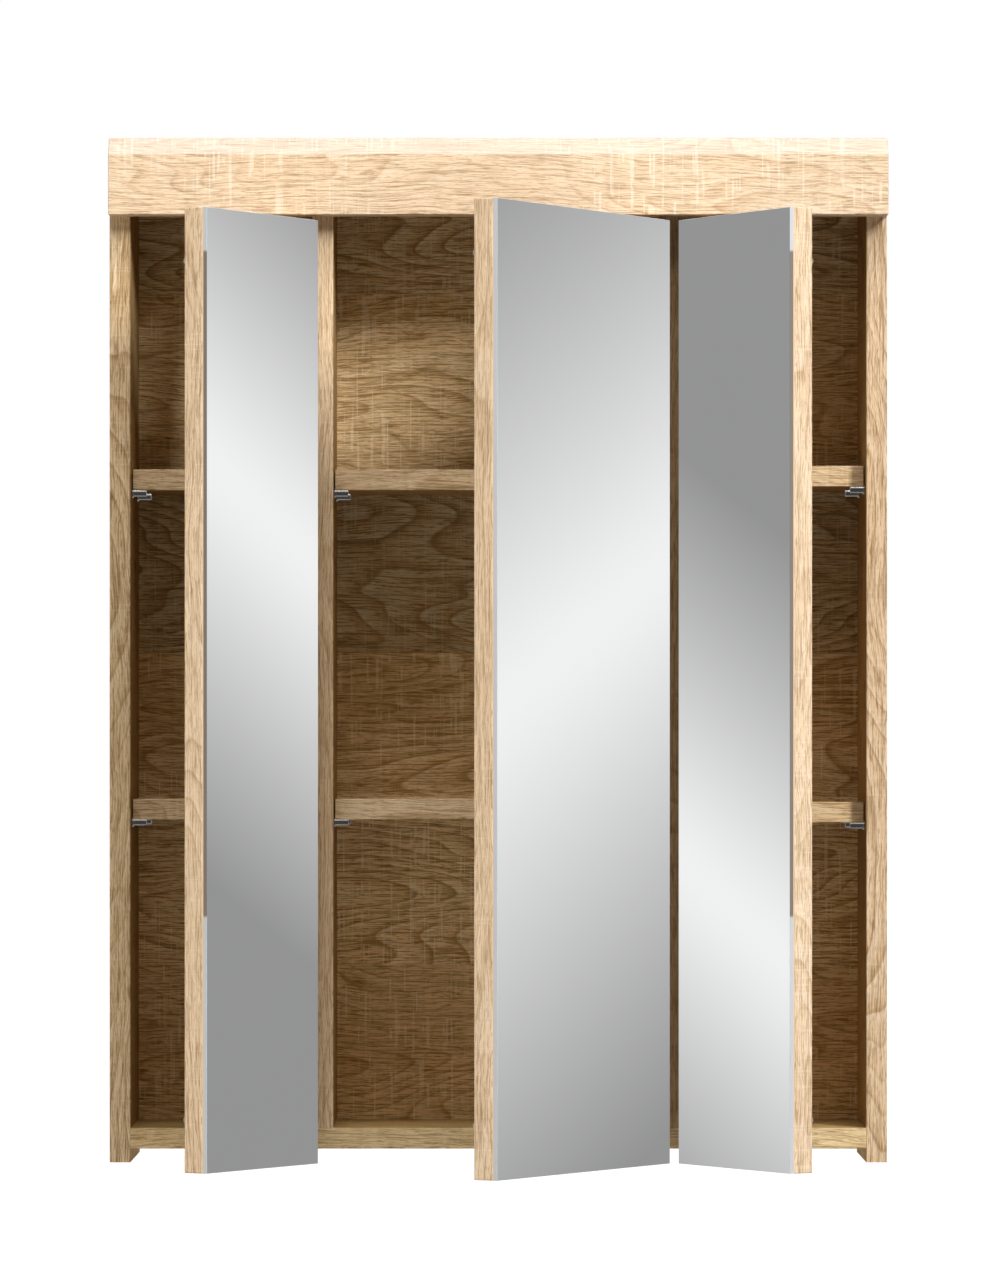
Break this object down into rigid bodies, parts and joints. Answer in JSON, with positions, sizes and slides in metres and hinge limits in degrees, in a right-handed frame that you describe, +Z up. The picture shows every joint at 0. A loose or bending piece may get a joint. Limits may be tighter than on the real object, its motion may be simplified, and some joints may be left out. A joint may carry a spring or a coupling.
{
  "type": "mirrored wall cabinet",
  "caption": "Wall-hung bathroom cabinet in sawn oak decor with a bevelled crown, open bays with loose shelves and tall mirror doors that swing on concealed cup hinges.",
  "frame": {"origin": "on the wall plane, midway between the two hanger eyes", "axes": "+X to the right when facing the cabinet, +Y into the wall, +Z up"},
  "size_m": [0.6, 0.3995, 0.79],
  "materials": {
    "sawn_oak": "matt sawn oak decor",
    "mirror_glass": "silvered float glass",
    "nickel_steel": "nickel plated steel",
    "cast_zinc": "die-cast zinc",
    "beech": "raw fluted beech",
    "soft_bumper": "clear soft plastic"
  },
  "bodies": {
    "carcass": {"left_side_panel": "sawn_oak", "right_side_panel": "sawn_oak", "top_panel": "sawn_oak", "bottom_panel": "sawn_oak", "left_partition": "sawn_oak", "right_partition": "sawn_oak", "crown_fascia": "sawn_oak", "back_panel": "sawn_oak", "left_lower_shelf": "sawn_oak", "left_upper_shelf": "sawn_oak", "middle_lower_shelf": "sawn_oak", "middle_upper_shelf": "sawn_oak", "right_lower_shelf": "sawn_oak", "right_upper_shelf": "sawn_oak", "left_shelf_supports": "nickel_steel", "middle_shelf_supports": "nickel_steel", "right_shelf_supports": "nickel_steel", "carcass_dowels": "beech", "cam_bolts": "nickel_steel", "cam_locks": "cast_zinc", "panel_screws": "nickel_steel", "crown_dowels": "beech", "left_hanger": "nickel_steel", "right_hanger": "nickel_steel", "hanger_screws": "nickel_steel", "left_hinge_arms": "nickel_steel", "left_arm_pins": "nickel_steel", "left_hinge_feet": "nickel_steel", "middle_hinge_arms": "nickel_steel", "middle_arm_pins": "nickel_steel", "middle_hinge_feet": "nickel_steel", "right_hinge_arms": "nickel_steel", "right_arm_pins": "nickel_steel", "right_hinge_feet": "nickel_steel", "hinge_foot_screws": "nickel_steel", "hinge_arm_screws": "nickel_steel"},
    "left_links": {"left_main_links": "nickel_steel"},
    "left_door": {"left_door_board": "sawn_oak", "left_door_mirror": "mirror_glass", "left_hinge_cups": "nickel_steel", "left_cup_pins": "nickel_steel", "left_cup_screws": "nickel_steel", "left_door_bumpers": "soft_bumper"},
    "left_plates": {"left_side_plates": "nickel_steel"},
    "middle_links": {"middle_main_links": "nickel_steel"},
    "middle_door": {"middle_door_board": "sawn_oak", "middle_door_mirror": "mirror_glass", "middle_hinge_cups": "nickel_steel", "middle_cup_pins": "nickel_steel", "middle_cup_screws": "nickel_steel", "middle_door_bumpers": "soft_bumper"},
    "middle_plates": {"middle_side_plates": "nickel_steel"},
    "right_links": {"right_main_links": "nickel_steel"},
    "right_door": {"right_door_board": "sawn_oak", "right_door_mirror": "mirror_glass", "right_hinge_cups": "nickel_steel", "right_cup_pins": "nickel_steel", "right_cup_screws": "nickel_steel", "right_door_bumpers": "soft_bumper"},
    "right_plates": {"right_side_plates": "nickel_steel"}
  },
  "joints": [
    {"name": "left_link_pivot", "type": "hinge", "parent": "carcass", "child": "left_links", "pos_m": [-0.1721, -0.1425, -0.397], "axis": [0, 0, 1], "range_deg": [-13.1, 22.1]},
    {"name": "left_door_pivot", "type": "hinge", "parent": "left_links", "child": "left_door", "pos_m": [-0.15515, -0.16814, -0.397], "axis": [0, 0, 1], "range_deg": [-81.6, 47.6]},
    {"name": "left_plate_pivot", "type": "hinge", "parent": "left_door", "child": "left_plates", "pos_m": [-0.15927, -0.16969, -0.397], "axis": [0, 0, 1], "range_deg": [-58.32, 99.62]},
    {"name": "middle_link_pivot", "type": "hinge", "parent": "carcass", "child": "middle_links", "pos_m": [0.0987, -0.1425, -0.397], "axis": [0, 0, 1], "range_deg": [-11.3, 22.1]},
    {"name": "middle_door_pivot", "type": "hinge", "parent": "middle_links", "child": "middle_door", "pos_m": [0.11565, -0.16814, -0.397], "axis": [0, 0, 1], "range_deg": [-81.6, 40.8]},
    {"name": "middle_plate_pivot", "type": "hinge", "parent": "middle_door", "child": "middle_plates", "pos_m": [0.11153, -0.16969, -0.397], "axis": [0, 0, 1], "range_deg": [-50.06, 99.62]},
    {"name": "right_link_pivot", "type": "hinge", "parent": "carcass", "child": "right_links", "pos_m": [0.1721, -0.1425, -0.397], "axis": [0, 0, -1], "range_deg": [-11.3, 22.1]},
    {"name": "right_door_pivot", "type": "hinge", "parent": "right_links", "child": "right_door", "pos_m": [0.15515, -0.16814, -0.397], "axis": [0, 0, -1], "range_deg": [-81.6, 40.8]},
    {"name": "right_plate_pivot", "type": "hinge", "parent": "right_door", "child": "right_plates", "pos_m": [0.15927, -0.16969, -0.397], "axis": [0, 0, -1], "range_deg": [-50.06, 99.62]}
  ],
  "couplings": [
    {"joint": "left_link_pivot", "follows": "left_door_pivot", "ratio": -0.26471},
    {"joint": "left_plate_pivot", "follows": "left_door_pivot", "ratio": -1.2147},
    {"joint": "middle_link_pivot", "follows": "middle_door_pivot", "ratio": -0.26471},
    {"joint": "middle_plate_pivot", "follows": "middle_door_pivot", "ratio": -1.2147},
    {"joint": "right_link_pivot", "follows": "right_door_pivot", "ratio": -0.26471},
    {"joint": "right_plate_pivot", "follows": "right_door_pivot", "ratio": -1.2147}
  ]
}
